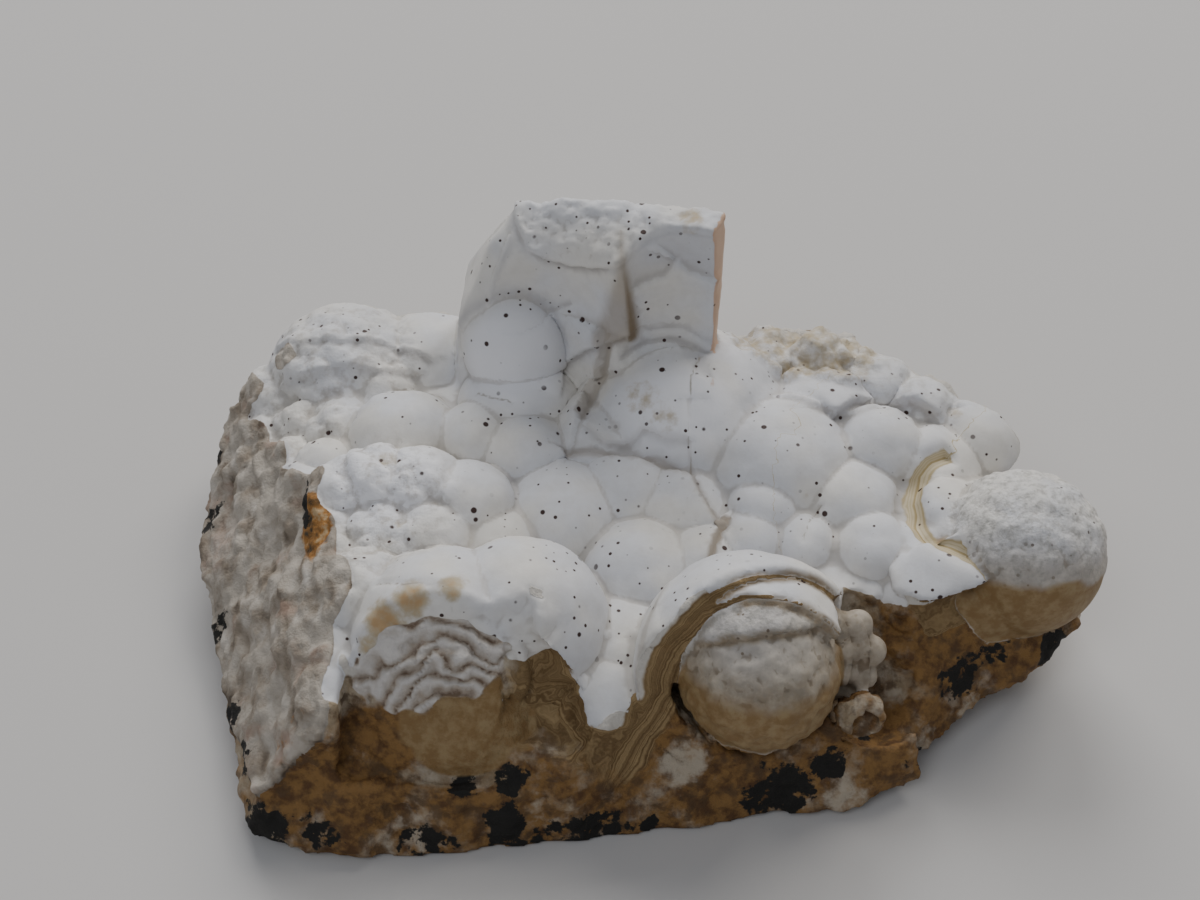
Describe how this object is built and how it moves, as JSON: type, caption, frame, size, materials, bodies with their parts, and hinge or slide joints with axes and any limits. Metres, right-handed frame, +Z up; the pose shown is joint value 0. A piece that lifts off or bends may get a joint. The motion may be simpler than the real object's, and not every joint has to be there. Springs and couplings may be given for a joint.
{
  "type": "cacholong mineral specimen",
  "caption": "Hand specimen of matrix rock under a white botryoidal crust, with a broken banded front, nested balls and an upright fin; a display piece.",
  "frame": {"origin": "middle of the small flat facet under the stone that it rests on", "axes": "+Z up from the resting facet; +X along the stone's longest extent towards its ball-shaped end; the broken banded front faces -Y and the upright fin stands at +Y"},
  "size_m": [0.0608, 0.0411, 0.0255],
  "materials": {
    "cacholong": "matt porcelain-like white crust with dark red-brown specks, over cream and ochre banded matrix with black patches on the broken faces"
  },
  "bodies": {
    "root": {"cacholong_specimen": "cacholong"}
  },
  "joints": []
}
